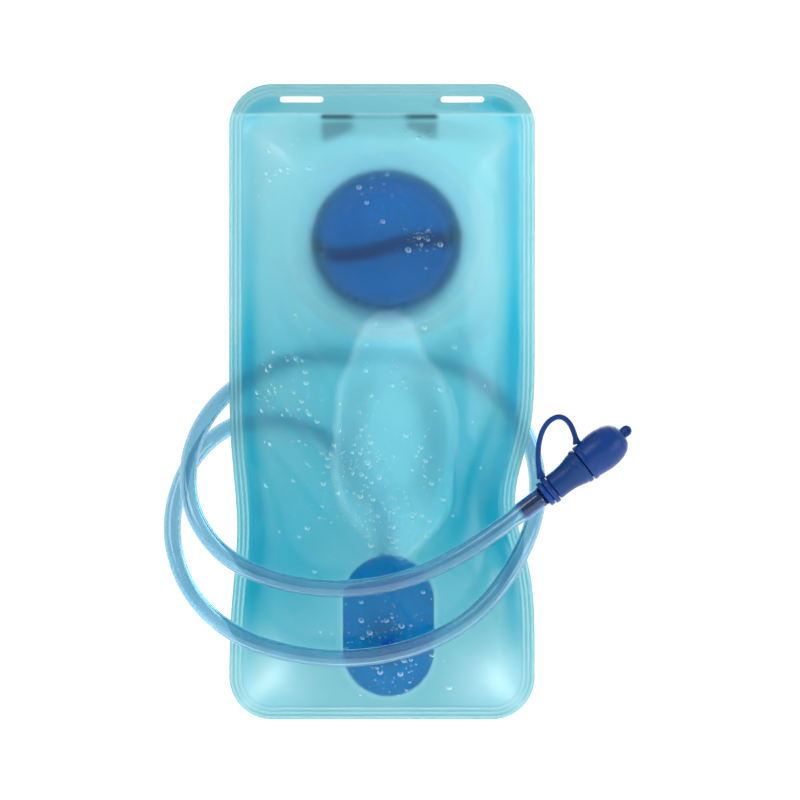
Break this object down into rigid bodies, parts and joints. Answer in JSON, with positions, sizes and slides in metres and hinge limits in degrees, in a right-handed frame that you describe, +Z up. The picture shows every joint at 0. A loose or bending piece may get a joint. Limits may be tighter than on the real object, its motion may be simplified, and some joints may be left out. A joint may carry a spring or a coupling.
{
  "type": "hydration bladder",
  "caption": "Soft film water reservoir with two hang slots, a wide screw cap, an oval outlet, and a drink hose with a covered bite valve.",
  "frame": {"origin": "midway between the centres of the two hang slots, in the weld plane of the bag", "axes": "+Z up as the bag hangs, +Y out of the front side that carries the mouth and the outlet, +X to the right seen from the plain rear side"},
  "size_m": [0.2577, 0.0861, 0.3555],
  "materials": {
    "film": "translucent frosted TPU film, aqua",
    "neck": "pale milky plastic",
    "cap": "blue, satin",
    "gasket": "white silicone",
    "outlet": "translucent blue, satin",
    "hose": "smoky blue, glossy, clear",
    "connector": "dark blue",
    "silicone": "blue, soft sheen",
    "cover": "bright blue, soft satin"
  },
  "bodies": {
    "root": {"rear_film": "film", "front_film": "film", "mouth_neck": "neck", "outlet_base": "outlet", "outlet_elbow": "cap", "outlet_o_ring": "gasket", "drink_hose": "hose", "mouthpiece_connector": "connector", "bite_valve": "silicone"},
    "cap_seal": {"cap_gasket": "gasket"},
    "cap": {"screw_cap": "cap"},
    "leash": {"tether_ring": "cover", "tether_strap": "cover"},
    "cover": {"dust_cover": "cover"}
  },
  "joints": [
    {"name": "cap_lift", "type": "slide", "parent": "root", "child": "cap_seal", "axis": [0, 0.9703, -0.2419], "range_m": [0, 0.0051]},
    {"name": "cap_turn", "type": "hinge", "parent": "cap_seal", "child": "cap", "pos_m": [0.0025, 0.006, -0.078], "axis": [0, 0.9703, -0.2419], "range_deg": [0, 450]},
    {"name": "leash_turn", "type": "hinge", "parent": "root", "child": "leash", "pos_m": [0.0915, -0.04, -0.217], "axis": [0.788, 0, 0.6157], "range_deg": [-180, 180]},
    {"name": "cover_pull", "type": "slide", "parent": "leash", "child": "cover", "axis": [0.788, 0, 0.6157], "range_m": [0, 0.025]}
  ],
  "couplings": [
    {"joint": "cap_lift", "follows": "cap_turn", "m_per_rad": 0.00063662}
  ]
}
